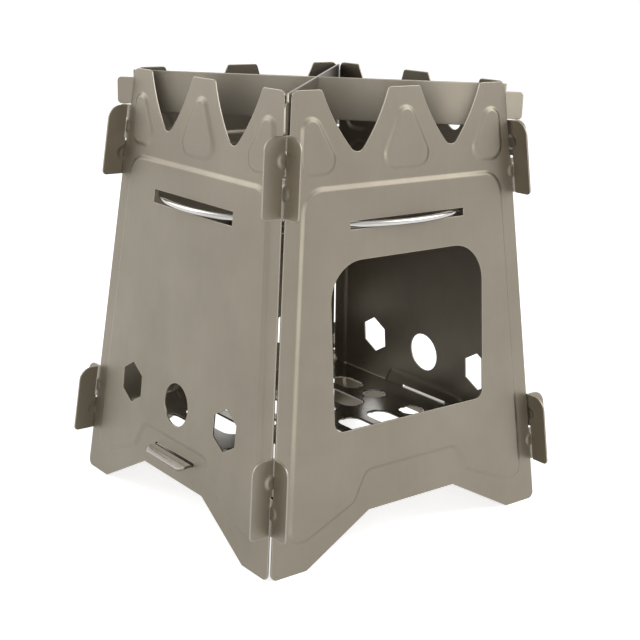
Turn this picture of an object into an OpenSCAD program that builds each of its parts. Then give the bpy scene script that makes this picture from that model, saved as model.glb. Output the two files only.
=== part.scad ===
// Folding camp stove: four stamped sheet walls that hook together at the corners,
// a base plate, a round tray held in slots near the top, and two crossed pot supports.
// Millimetres, +Z up, origin on the ground under the middle. The window wall faces -Y.

/* [Body] */
// Height of the walls above the ground
body_h = 155; // [135:1:175]
// Distance between the outer faces of opposite walls at the ground
base_w = 124; // [118:1:130]
// Distance between the outer faces of opposite walls at the top
top_w = 95; // [90:1:100]
// Thickness of the wall sheet
sheet_t = 0.6; // [0.4:0.05:0.7]
// How far each wall stops short of the corner line
edge_back = 0.9; // [0.85:0.05:1.2]
// How far the crown stops short of the corner line, which lets the pot supports in
crown_back = 1.5; // [1.4:0.05:1.8]
// Height of the stamped relief
relief_h = 0.8; // [0.3:0.05:1]

/* [Crown] */
// Depth of the notches between the merlons
notch_d = 20; // [15:0.5:22]
// Distance of the notches from the wall's middle line
notch_x = 20.5; // [19:0.25:21]
// Half of a notch's width at the top
notch_half_w = 13.8; // [11:0.2:14]
// Radius at the bottom of a notch
notch_r = 3.6; // [2:0.2:4.5]
// Radius of a notch's flanks
notch_flank_r = 62; // [45:1:90]
// Rounding of the merlons' corners
merlon_r = 1.4; // [0.5:0.1:1.8]

/* [Feet] */
// Height of the arch between the feet
arch_h = 14.6; // [11:0.2:18]
// Half of the arch's flat middle
arch_half_w = 19.5; // [14:0.5:24]
// Distance from the wall's middle line to the inner end of a foot
foot_x = 46.6; // [42:0.2:50]
// Rounding at the outer corner of a foot
foot_r = 2.4; // [1:0.2:4]

/* [Ears] */
// Height of an ear
ear_h = 25.4; // [20:0.2:28]
// How far an ear reaches past the corner line
ear_reach = 8; // [6:0.25:10]
// Height of the lower ears' bottom above the ground
low_ear_z = 15.4; // [13:0.2:20]
// Height of the upper ears' bottom above the ground
high_ear_z = 116.2; // [112:0.2:117]
// Rounding of an ear's upper corner
ear_top_r = 5; // [3:0.25:6]
// Rounding of an ear's lower corner
ear_low_r = 1.6; // [1:0.2:3]
// Gap between an ear's slot and the sheet in it
ear_clear = 0.3; // [0.2:0.05:0.3]
// Height left open where two ears' slots meet
ear_meet_gap = 0.8; // [0.4:0.1:1.5]
// Radius of the round boss on an ear
boss_r = 3.4; // [2:0.2:4]
// Height of the round boss
boss_h = 0.4; // [0.2:0.05:0.4]

/* [Relief] */
// Height of the top edge of the large raised field
field_top_z = 124.2; // [121:0.2:125]
// Distance from the wall's edge to the raised field
field_margin = 6.6; // [5:0.2:8]
// Rounding of the raised field's upper corners
field_r = 8; // [4:0.5:10]
// Rounding of the raised field's lower corners
field_low_r = 4.4; // [2:0.2:5]
// Height of the field's bottom edge in the middle
field_mid_z = 29; // [27:0.2:30]
// Half of the width of the field's bottom edge in the middle
field_mid_half_w = 20.5; // [18:0.25:22]
// Width of the steep step beside the field's bottom edge
field_step_w = 5.7; // [4:0.1:7]
// Height of that step
field_step_h = 10.1; // [8.5:0.1:11]
// Height of the field's bottom edge at the feet
field_foot_z = 10.6; // [9:0.2:12]
// Height of the base of the rounded triangles
tri_base_z = 128.8; // [127:0.2:129.6]
// Height of the tip of the middle triangle
tri_tip_z = 148.2; // [145:0.2:151]
// Half of the middle triangle's base
tri_half_w = 12.2; // [10:0.2:12.6]
// Rounding of the triangles' base corners
tri_r = 4.4; // [2:0.2:4.6]
// Radius of the triangles' tips
tri_tip_r = 3.8; // [2:0.2:4]
// Height of the tips of the side triangles
side_tri_tip_z = 146; // [144:0.2:149]
// Distance of a side triangle's inner corner from the wall's middle line
side_tri_x = 27.2; // [26.8:0.2:30]
// Distance from the corner line to a side triangle
side_tri_margin = 5.9; // [5.4:0.1:7]

/* [Window] */
// Height of the window's bottom edge
window_z = 44.2; // [40:0.2:60]
// Height of the window opening
window_h = 56.3; // [40:0.5:60]
// Width of the window opening
window_w = 67.4; // [50:0.5:74]
// Rounding of the window's upper corners
window_top_r = 13; // [6:0.5:18]
// Rounding of the window's lower corners
window_low_r = 3.6; // [1.5:0.2:6]

/* [Air holes] */
// Height of the air holes' centres
hole_z = 41.8; // [40:0.2:48]
// Distance of the six-sided holes from the middle
hex_x = 30.9; // [24:0.2:34]
// Radius of the six-sided holes, across corners
hex_r = 7.6; // [5:0.1:8]
// Radius of the round hole in the middle
round_hole_r = 7.7; // [5:0.1:9]

/* [Round tray] */
// Height of the middle of the tray's rolled rim
tray_z = 111.7; // [108:0.1:113]
// Outer radius of the tray
tray_r = 56.4; // [55:0.1:57]
// Radius of the rolled rim's own section
rim_r = 1.05; // [0.8:0.05:1.2]
// Thickness of the tray's sheet
tray_t = 0.5; // [0.4:0.05:0.7]
// Depth of the tray's dish below its flange
dish_d = 7; // [4:0.5:10]
// Radius of the dish at its top
dish_r = 46; // [40:0.5:47]
// Radius of the dish's floor
floor_r = 41; // [36:0.5:43]
// Radius of the seat in the middle of the floor
seat_r = 21; // [16:0.5:24]
// Height of the seat
seat_h = 1.6; // [0.8:0.1:2.5]
// Number of holes around the floor
tray_holes = 12; // [6:1:14]
// Radius of the holes around the floor
tray_hole_r = 3.4; // [2:0.1:3.6]
// Radius of the circle that the holes lie on
tray_hole_ring_r = 31; // [29:0.5:34]
// Radius of the hole in the middle of the seat
tray_mid_hole_r = 7; // [4:0.5:10]
// Half of the length of the slots that the tray stands in
tray_slot_half_w = 25; // [24:0.2:28]
// Height of the tray's slot in the window wall and the back wall
tray_slot_h = 2.7; // [2.5:0.1:3.4]
// Height of the tray's slot in the side walls
tall_slot_h = 4.7; // [4:0.1:6]
// How far the side walls' slot starts below the slot in the other walls
tall_slot_low = 0.8; // [0.4:0.1:1.2]

/* [Base plate] */
// Height of the base plate's top face
plate_z = 23.7; // [21:0.1:24.5]
// Thickness of the base plate
plate_t = 0.8; // [0.5:0.05:1]
// Gap between the base plate and the walls
plate_clear = 0.4; // [0.25:0.05:0.6]
// Half of the width of a tongue
tongue_half_w = 12.6; // [9:0.2:13]
// How far a tongue reaches past the wall
tongue_reach = 5.4; // [2:0.2:6]
// Rounding of a tongue's corners
tongue_r = 2.6; // [1:0.2:4]
// Height of the tongue's slot
tongue_slot_h = 1.6; // [1.4:0.1:3]
// Distance between neighbouring rows of openings in the plate
row_pitch = 14.2; // [12.8:0.1:15]
// Half of the width of an opening in the plate
row_slot_r = 5; // [3:0.1:5.6]
// Distance from the middle to the near end of the long openings
row_slot_near = 4; // [3:0.5:6]
// Distance from the middle to the far end of the long openings
row_slot_far = 38; // [30:0.5:46]
// Distance of the outer rows' round holes from the middle
end_hole_y = 11.5; // [9:0.5:13]
// Distance from the middle to the near end of the outer rows' openings
end_slot_near = 21; // [19:0.5:24]

/* [Pot supports] */
// Height of a pot support
support_h = 15; // [12:0.5:16]
// Thickness of a pot support
support_t = 0.8; // [0.6:0.05:0.8]
// Distance from the pot supports' top edge down from the walls' top
support_drop = 0.8; // [0.2:0.1:2]
// How far a pot support's full height stops short of the corner line at its top
support_back = 0.3; // [0.2:0.1:2]
// How far the end tabs reach past the full height
tab_len = 6; // [4:0.25:8]
// Height of the step above the end tabs
tab_step = 2.7; // [1.5:0.1:4]
// Rounding of the end tabs
tab_r = 1.4; // [0.5:0.1:2]
// Gap between the end tabs and the ears below them
tab_clear = 0.3; // [0.2:0.1:1]
// Gap on each side where the two pot supports cross
lap_clear = 0.2; // [0.15:0.05:0.3]

/* [Hidden] */

// Overrun of every cut past the face that it goes through
over = 0.5;
// Steps in a rounded corner of an outline
corner_steps = 5;
// Steps in a notch's flank
flank_steps = 6;
// Facets asked of the full circles, which stay true circles
$fn = 64;

wall_colour = [0.62, 0.59, 0.54];
steel_colour = [0.78, 0.78, 0.78];
plate_colour = [0.5, 0.48, 0.45];

// The walls lean in by this angle
lean = atan((base_w - top_w) / 2 / body_h);
// Length along the leaning wall for a height above the ground
function rise(z) = z / cos(lean);
// Distance from the axis to a wall's outer face at a height
function reach(z) = base_w / 2 - z * tan(lean);
// Height that the leaning sheet's inner edge hangs below its outer edge
foot_sink = sheet_t * sin(lean);

// Points of a circular arc
function arc(c, r, from, to, steps) =
    [for (i = [0:steps]) let (a = from + (to - from) * i / steps) c + r * [cos(a), sin(a)]];
// Direction from one point to another, as an angle
function heading(p, q) = atan2(q[1] - p[1], q[0] - p[0]);
// Angle difference brought into -180..180
function turn(a) = a > 180 ? a - 360 : a < -180 ? a + 360 : a;
// One corner rounded by an arc that touches both of its sides
function round_corner(a, b, c, r) =
    let (h1 = heading(a, b), h2 = heading(b, c), t = turn(h2 - h1), s = t > 0 ? 1 : -1,
         back = r * tan(abs(t) / 2),
         start = b - back * [cos(h1), sin(h1)],
         centre = start + s * r * [-sin(h1), cos(h1)],
         from = heading(centre, start))
    r == 0 ? [b] : arc(centre, r, from, from + t, corner_steps);
// A closed outline whose corners [x, y, radius] are rounded
function rounded(p) =
    [for (i = [0:len(p) - 1])
        let (n = len(p), a = p[(i + n - 1) % n], b = p[i], c = p[(i + 1) % n])
        each round_corner([a[0], a[1]], [b[0], b[1]], [c[0], c[1]], b[2])];

// The same corners seen in a mirror, still in the same sense of turn
function mirrored(p) = [for (i = [len(p) - 1:-1:0]) [-p[i][0], p[i][1], p[i][2]]];
// Corners of an outline drawn in by a distance
function drawn_in(p, d) =
    [for (i = [0:len(p) - 1])
        let (n = len(p), a = p[(i + n - 1) % n], b = p[i], c = p[(i + 1) % n],
             h1 = heading(a, b), h2 = heading(b, c),
             n1 = [-sin(h1), cos(h1)], n2 = [-sin(h2), cos(h2)],
             q = [b[0], b[1]] + d * (n1 + n2) / (1 + n1 * n2))
        [q[0], q[1], max(b[2] - sign(turn(h2 - h1)) * d, 0)]];
// Where a line through p and one through q meet, with their headings
function meet(p, a, q, b) = p + [cos(a), sin(a)] * cross(q - p, [cos(b), sin(b)]) / sin(b - a);

// Half of the wall's outline width at a height along the sheet
function wall_half(v, back) = base_w / 2 - v * sin(lean) - back;
wall_v = rise(body_h);
// Where the sheet's edges step back, hidden in the solid half of each upper ear
high_ear_mid = rise(high_ear_z + ear_h / 2);
right_step = high_ear_mid - ear_meet_gap;
left_step = high_ear_mid + ear_meet_gap;

// Where the flank's circle and the notch's bottom circle touch
notch_mid = [0, notch_r - notch_d];
flank_top = [notch_half_w, 0];
notch_gap = norm(flank_top - notch_mid);
flank_in = (pow(notch_flank_r - notch_r, 2) - pow(notch_flank_r, 2) + pow(notch_gap, 2)) / (2 * notch_gap);
flank_dir = (flank_top - notch_mid) / notch_gap;
flank_up = sqrt(pow(notch_flank_r - notch_r, 2) - pow(flank_in, 2));
flank_c = notch_mid + flank_in * flank_dir + flank_up * [-flank_dir[1], flank_dir[0]];
// Centre of the merlon's corner, which touches the flank's circle and the top edge
merlon_c = [flank_c[0] + sqrt(pow(notch_flank_r + merlon_r, 2) - pow(flank_c[1] + merlon_r, 2)), -merlon_r];
flank_a0 = heading(flank_c, notch_mid);
flank_a1 = heading(flank_c, merlon_c);

// All points of a list but the first
function rest(p) = [for (i = [1:len(p) - 1]) p[i]];
// Half of a notch, from its lowest point to the top of the merlon beside it
notch_half = concat(arc(notch_mid, notch_r, -90, flank_a0, corner_steps),
    rest(arc(flank_c, notch_flank_r, flank_a0, flank_a1, flank_steps)),
    rest(arc(merlon_c, merlon_r, 180 + flank_a1, 90, corner_steps)));

// A notch between two merlons, open at the top
module notch() {
    translate([0, wall_v]) for (m = [0, 1]) mirror([m, 0])
        polygon(concat(notch_half, [[merlon_c[0], over], [0, over]]));
}

// Outline of the sheet between the corner lines, with the arch and feet
module wall_outline() {
    polygon(rounded([
        [-wall_half(0, edge_back), 0, foot_r],
        [-foot_x, 0, 0],
        [-arch_half_w, rise(arch_h), 0],
        [arch_half_w, rise(arch_h), 0],
        [foot_x, 0, 0],
        [wall_half(0, edge_back), 0, foot_r],
        [wall_half(right_step, edge_back), right_step, 0],
        [wall_half(right_step, crown_back), right_step, 0],
        [wall_half(wall_v, crown_back), wall_v, 2 * merlon_r],
        [-wall_half(wall_v, crown_back), wall_v, 2 * merlon_r],
        [-wall_half(left_step, crown_back), left_step, 0],
        [-wall_half(left_step, edge_back), left_step, 0]]));
}

// Outline of one ear on the right-hand edge, from inside the sheet to its outer edge
module ear_outline(z) {
    v0 = rise(z);
    v1 = rise(z + ear_h);
    polygon(rounded([
        [wall_half(v0, edge_back + boss_r), v0, 0],
        [wall_half(v0, -ear_reach), v0, ear_low_r],
        [wall_half(v1, -ear_reach), v1, ear_top_r],
        [wall_half(v1, edge_back + boss_r), v1, 0]]));
}

// Cut that leaves a slot between a right-hand ear and the sheet's edge, between two heights along the sheet
module ear_slot(v0, v1) {
    inner = edge_back + 2 * boss_r;
    polygon([
        [wall_half(v0, inner), v0],
        [wall_half(v0, -boss_h - ear_clear), v0],
        [wall_half(v1, -boss_h - ear_clear), v1],
        [wall_half(v1, inner), v1]]);
}

// Flat sheet with its ears: the right-hand ears are slotted from above, the left-hand from below
module sheet_outline() {
    difference() {
        wall_outline();
        for (s = [-1, 1]) translate([s * notch_x, 0]) notch();
    }
    for (z = [low_ear_z, high_ear_z]) {
        mid = rise(z + ear_h / 2);
        difference() {
            ear_outline(z);
            ear_slot(mid - ear_meet_gap / 2, rise(z + ear_h) + over);
        }
        mirror([1, 0]) difference() {
            ear_outline(z);
            ear_slot(rise(z) - over, mid + ear_meet_gap / 2);
        }
    }
}

// Largest rounding of the field's outer lower corner as a share of the foot's width there
foot_r_share = 0.6;

// Corners of the large raised field
field_corners = let (top = rise(field_top_z), foot = rise(field_foot_z), mid = rise(field_mid_z),
        side = edge_back + field_margin, foot_half = wall_half(foot, side),
        foot_r1 = min(field_low_r, (foot_half - foot_x) * foot_r_share),
        right = [[field_mid_half_w, mid, field_low_r],
            [field_mid_half_w + field_step_w, mid - field_step_h, field_low_r],
            [foot_x, foot, field_low_r],
            [foot_half, foot, foot_r1],
            [wall_half(top, side), top, field_r]])
    concat(right, mirrored(right));

// Corners of a triangle on a base from p to q, whose tip is an arc of radius r round c
function triangle(p, q, c, r) =
    let (tip = meet(p, heading(p, c) + asin(r / norm(c - p)), q, heading(q, c) - asin(r / norm(c - q))))
    [[p[0], p[1], tri_r], [q[0], q[1], tri_r], [tip[0], tip[1], r]];

middle_triangle = let (base = rise(tri_base_z))
    triangle([-tri_half_w, base], [tri_half_w, base], [0, rise(tri_tip_z) - tri_tip_r], tri_tip_r);

right_triangle = let (base = rise(tri_base_z), tip = rise(side_tri_tip_z) - tri_tip_r)
    triangle([side_tri_x, base], [wall_half(base, side_tri_margin), base],
        [wall_half(tip, side_tri_margin) - tri_tip_r, tip], tri_tip_r);

// All the raised areas of a wall, drawn in by a distance
module relief(inset) {
    for (p = [field_corners, middle_triangle, right_triangle, mirrored(right_triangle)])
        polygon(rounded(drawn_in(p, inset)));
}

// Window for feeding the fire
module window_outline() {
    v0 = rise(window_z);
    polygon(rounded([
        [-window_w / 2, v0, window_low_r], [window_w / 2, v0, window_low_r],
        [window_w / 2, v0 + window_h, window_top_r], [-window_w / 2, v0 + window_h, window_top_r]]));
}

// Two six-sided air holes with a round one between them
module air_holes() {
    translate([0, rise(hole_z)]) {
        circle(r = round_hole_r);
        for (s = [-1, 1]) translate([s * hex_x, 0]) rotate(90) circle(r = hex_r, $fn = 6);
    }
}

// Level slot in a wall, from a height up
module level_slot(half_w, z, h) {
    translate([-half_w, rise(z)]) square([2 * half_w, h]);
}

// Bottom of the tray's slots
slot_floor = tray_z - rim_r - ear_clear;
// Bottom of the tongue's slots
tongue_floor = plate_z - plate_t - plate_clear / 2;
// Half of the width of the tongue's slots
tongue_slot_half_w = tongue_half_w + plate_clear;

// A stamped wall lying in its own plane: X across, Z along the sheet, outside towards -Y.
// The tray's slot in it starts at a height and has a height of its own
module stamped_wall(slot_z, slot_h) {
    rotate([90, 0, 0]) difference() {
        union() {
            translate([0, 0, -sheet_t]) linear_extrude(sheet_t) sheet_outline();
            linear_extrude(relief_h) relief(0);
            for (z = [low_ear_z, high_ear_z], s = [-1, 1]) {
                v = rise(z + ear_h / 2) - s * (boss_r + ear_low_r);
                translate([s * wall_half(v, 0), v]) cylinder(r = boss_r, h = boss_h);
            }
        }
        translate([0, 0, -sheet_t - over]) linear_extrude(relief_h + over) relief(sheet_t);
        translate([0, 0, -sheet_t - over]) linear_extrude(sheet_t + relief_h + 2 * over) {
            level_slot(tray_slot_half_w, slot_z, slot_h);
            children();
        }
    }
}

// Stands a wall up, leaning in, on the side that a number of quarter turns gives
module stand(quarters) {
    rotate([0, 0, 90 * quarters]) translate([0, -base_w / 2, foot_sink]) rotate([-lean, 0, 0]) children();
}

module window_wall() {
    color(wall_colour) stand(0) stamped_wall(slot_floor, tray_slot_h) window_outline();
}

// A side wall, with air holes and the slot for the base plate's tongue
module side_wall() {
    stamped_wall(slot_floor - tall_slot_low, tall_slot_h) {
        air_holes();
        level_slot(tongue_slot_half_w, tongue_floor, tongue_slot_h);
    }
}

module left_wall() {
    color(wall_colour) stand(-1) side_wall();
}

module right_wall() {
    color(wall_colour) stand(1) side_wall();
}

module back_wall() {
    color(wall_colour) stand(2) stamped_wall(slot_floor, tray_slot_h) air_holes();
}

// One opening of the base plate with round ends, along Y
module row_slot(x, near, far) {
    straight = far - near - 2 * row_slot_r;
    translate([x - row_slot_r, near + row_slot_r]) square([2 * row_slot_r, straight]);
    for (y = [near + row_slot_r, far - row_slot_r]) translate([x, y]) circle(r = row_slot_r);
}

module base_plate() {
    half = reach(plate_z) - sheet_t - plate_clear;
    tip = reach(plate_z) + tongue_reach;
    color(plate_colour) translate([0, 0, plate_z - plate_t]) linear_extrude(plate_t) difference() {
        union() {
            square(2 * half, center = true);
            polygon(rounded([[-tip, -tongue_half_w, tongue_r], [tip, -tongue_half_w, tongue_r],
                [tip, tongue_half_w, tongue_r], [-tip, tongue_half_w, tongue_r]]));
        }
        for (m = [0, 1]) mirror([0, m]) {
            for (k = [-2:2]) row_slot(k * row_pitch, row_slot_near, row_slot_far);
            for (s = [-1, 1]) {
                translate([3 * s * row_pitch, end_hole_y]) circle(r = row_slot_r);
                row_slot(3 * s * row_pitch, end_slot_near, row_slot_far);
            }
        }
    }
}

// Half section of the tray: rolled rim, flange, dish and raised seat
module tray_section() {
    flange = tray_z;
    floor_z = flange - dish_d;
    seat_z = floor_z + seat_h;
    rim_c = tray_r - rim_r;
    slope_r = seat_r + seat_h;
    difference() {
        polygon([
            [tray_mid_hole_r, seat_z], [seat_r, seat_z], [slope_r, floor_z], [floor_r, floor_z],
            [dish_r, flange], [rim_c, flange], [rim_c, flange + tray_t], [dish_r - tray_t, flange + tray_t],
            [floor_r - tray_t, floor_z + tray_t], [slope_r + tray_t, floor_z + tray_t],
            [seat_r + tray_t, seat_z + tray_t], [tray_mid_hole_r, seat_z + tray_t]]);
        translate([rim_c, tray_z]) circle(r = rim_r - tray_t);
    }
    translate([rim_c, tray_z]) difference() {
        circle(r = rim_r);
        circle(r = rim_r - tray_t);
    }
}

module round_tray() {
    color(steel_colour) difference() {
        rotate_extrude() tray_section();
        for (i = [0:tray_holes - 1]) rotate([0, 0, 360 * i / tray_holes])
            translate([tray_hole_ring_r, 0, tray_z - dish_d - over])
                cylinder(r = tray_hole_r, h = tray_t + 2 * over);
    }
}

// Side view of a pot support: full height between the walls and a tab at each end
support_top = body_h - support_drop;
tab_low = high_ear_z + ear_h + foot_sink + tab_clear;
module support_outline() {
    half = sqrt(2) * reach(support_top) - support_back;
    tip = half + tab_len;
    polygon(rounded([
        [-half, support_top - support_h, 0], [half, support_top - support_h, 0],
        [half, tab_low, 0], [tip, tab_low, tab_r],
        [tip, support_top - tab_step, tab_r], [half, support_top - tab_step, 0],
        [half, support_top, 0], [-half, support_top, 0],
        [-half, support_top - tab_step, 0], [-tip, support_top - tab_step, tab_r],
        [-tip, tab_low, tab_r], [-half, tab_low, 0]]));
}

// A pot support standing on a diagonal, with its half of the crossing slot cut between two heights
module pot_support(angle, z0, z1) {
    slot_w = support_t + 2 * lap_clear;
    rotate([0, 0, angle]) rotate([90, 0, 0]) translate([0, 0, -support_t / 2])
        linear_extrude(support_t) difference() {
            support_outline();
            translate([-slot_w / 2, z0]) square([slot_w, z1 - z0]);
        }
}
// Height at which the two pot supports meet where they cross
lap_z = support_top - support_h / 2;

module lower_pot_support() {
    color(wall_colour) pot_support(-45, lap_z - lap_clear, support_top + over);
}

module upper_pot_support() {
    color(wall_colour) pot_support(45, support_top - support_h - over, lap_z + lap_clear);
}

window_wall();
left_wall();
right_wall();
back_wall();
base_plate();
round_tray();
lower_pot_support();
upper_pot_support();
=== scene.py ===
"""Folding camp stove of stamped sheet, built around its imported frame."""

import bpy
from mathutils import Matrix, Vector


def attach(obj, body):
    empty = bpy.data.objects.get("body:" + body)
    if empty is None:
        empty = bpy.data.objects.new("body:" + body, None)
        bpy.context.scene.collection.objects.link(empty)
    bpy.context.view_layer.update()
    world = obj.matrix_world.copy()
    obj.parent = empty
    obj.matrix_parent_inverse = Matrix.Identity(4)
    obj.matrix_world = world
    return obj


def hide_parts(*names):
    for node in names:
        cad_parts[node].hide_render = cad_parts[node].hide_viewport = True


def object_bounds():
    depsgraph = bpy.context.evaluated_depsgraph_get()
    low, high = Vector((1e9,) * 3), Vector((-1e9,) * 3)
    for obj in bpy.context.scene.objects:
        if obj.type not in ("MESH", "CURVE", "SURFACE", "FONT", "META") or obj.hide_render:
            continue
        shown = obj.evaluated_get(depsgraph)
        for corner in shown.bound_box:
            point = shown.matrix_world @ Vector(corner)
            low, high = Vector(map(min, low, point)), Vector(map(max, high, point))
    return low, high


bl_info = {
    "name": "Folding camp stove",
    "version": (1, 0, 0),
    "blender": (4, 5, 0),
    "location": "3D View > Sidebar > Stove",
    "description": "Builds a flat-pack camp stove of stamped metal sheet with its tray, plate and pot supports",
    "category": "Add Mesh",
}

import math

import bmesh
import bpy
from bpy.props import FloatProperty, FloatVectorProperty, IntProperty, PointerProperty
from mathutils import Matrix, Vector

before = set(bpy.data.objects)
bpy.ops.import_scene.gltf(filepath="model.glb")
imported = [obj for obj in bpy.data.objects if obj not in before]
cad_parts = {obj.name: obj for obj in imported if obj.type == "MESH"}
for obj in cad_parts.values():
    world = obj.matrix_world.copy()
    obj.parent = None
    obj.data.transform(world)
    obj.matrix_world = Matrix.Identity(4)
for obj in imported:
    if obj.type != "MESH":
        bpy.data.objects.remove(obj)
CAD_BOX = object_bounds()

MM = 0.001
QUARTER = math.pi / 2
# Widest step of an arc, in a corner and along a notch's long flank
CORNER_STEP = math.radians(9)
FLANK_STEP = math.radians(2.5)
# Facets of a round boss or hole, of the tray's small holes and of a six-sided hole
CIRCLE_STEPS = 48
SMALL_CIRCLE_STEPS = 32
HEX_SIDES = 6
# Width of the flat band beside a cut edge, in roundings of that edge, and the same on a pot support
EDGE_BAND = 3
SUPPORT_EDGE_BAND = 2.5
# Facets over the rounding of a cut edge
CUT_STEPS = 2
# Rounding of the crown's ends, in roundings of a merlon, and of the field's corners over the feet,
# in roundings of its other low corners
CROWN_END = 2
FIELD_FOOT = 0.9
# Rounding of the plate's long openings, as a share of half their width: just short of a full half circle
ROUND_END = 0.999
# Rows of faces over a stamped slope and over a boss's slope
RELIEF_ROWS = 7
BOSS_ROWS = 6
# Width of the flat rim on each side of a slope and how far the outer rim starts outside the relief's
# outline, in widths of the slope; and the width of a boss's slope, in radii of the boss
SLOPE_LEAD = 0.16
SLOPE_OUTSIDE = 0.66
BOSS_SLOPE = 0.45
# Vertices nearer than this, in metres, become one, and a turn under this is no corner
MERGE_DIST = 1e-6
LEAST_TURN = 1e-4
# Least angles between two faces at which their edge is rounded, drawn sharp or marked as cut
ROUNDED_ANGLE = math.radians(60)
SHARP_ANGLE = math.radians(50)
CUT_ANGLE = math.radians(18)
# Name of the mark on vertices along cut edges
CUT_MARK = "cut_edge"
# How far the tray's rolled rim goes round, and the widest step of its arc
RIM_TURN = math.radians(330)
RIM_STEP = math.radians(12)
# Half width of the flat ring round the tray's holes, in radii of a hole
HOLE_RING = 1.5
# Share of its sheet's thickness that the tray is drawn with
TRAY_SHOWN = 0.9
# Rows of long openings in the base plate, counted from the middle, and the outer rows with a round hole each way
INNER_ROWS = (-2, -1, 0, 1, 2)
OUTER_ROWS = (-3, 3)
# How far the roughness of blasted metal drifts below and above its setting
ROUGHNESS_BELOW = 0.03
ROUGHNESS_ABOVE = 0.05
# Roughness of bare cut edges, as a share of the lowest roughness beside them
BARE_ROUGHNESS = 0.8
# Depth of the grain's bumps
GRAIN_DEPTH = 0.1 * MM
# Tone drift: the range of the noise that goes from shade to tone, and its streaks, which are drawn out upwards
DRIFT_LOW = 0.34
DRIFT_HIGH = 0.66
STREAK_SCALE = 420
STREAK_STRETCH = (1, 1, 0.04)
WHITE = (1, 1, 1, 1)
FLOOR_TONE = (0.8, 0.8, 0.8, 1)
# Nearest distance that the camera sees
CLIP_START = 10 * MM
# Sizes of the studio lamps, and where they stand, in metres
LAMP_SIZE = 0.8
LAMP_PLACES = {"Key": (-0.5, 0.86, 0.62), "Fill": (0.76, -0.54, 0.74), "Front": (-0.6, -0.86, 0.16)}


def length(name, millimetres, description):
    """A size in millimetres, kept in metres"""
    return FloatProperty(name=name, description=description, default=millimetres * MM, min=0,
                         unit="LENGTH", precision=5)


def share(name, default, description):
    """A share from 0 to 1"""
    return FloatProperty(name=name, description=description, default=default, min=0, max=1, subtype="FACTOR")


def colour(name, default, description):
    """A linear colour"""
    return FloatVectorProperty(name=name, description=description, default=default, min=0, max=1,
                               size=3, subtype="COLOR")


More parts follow.
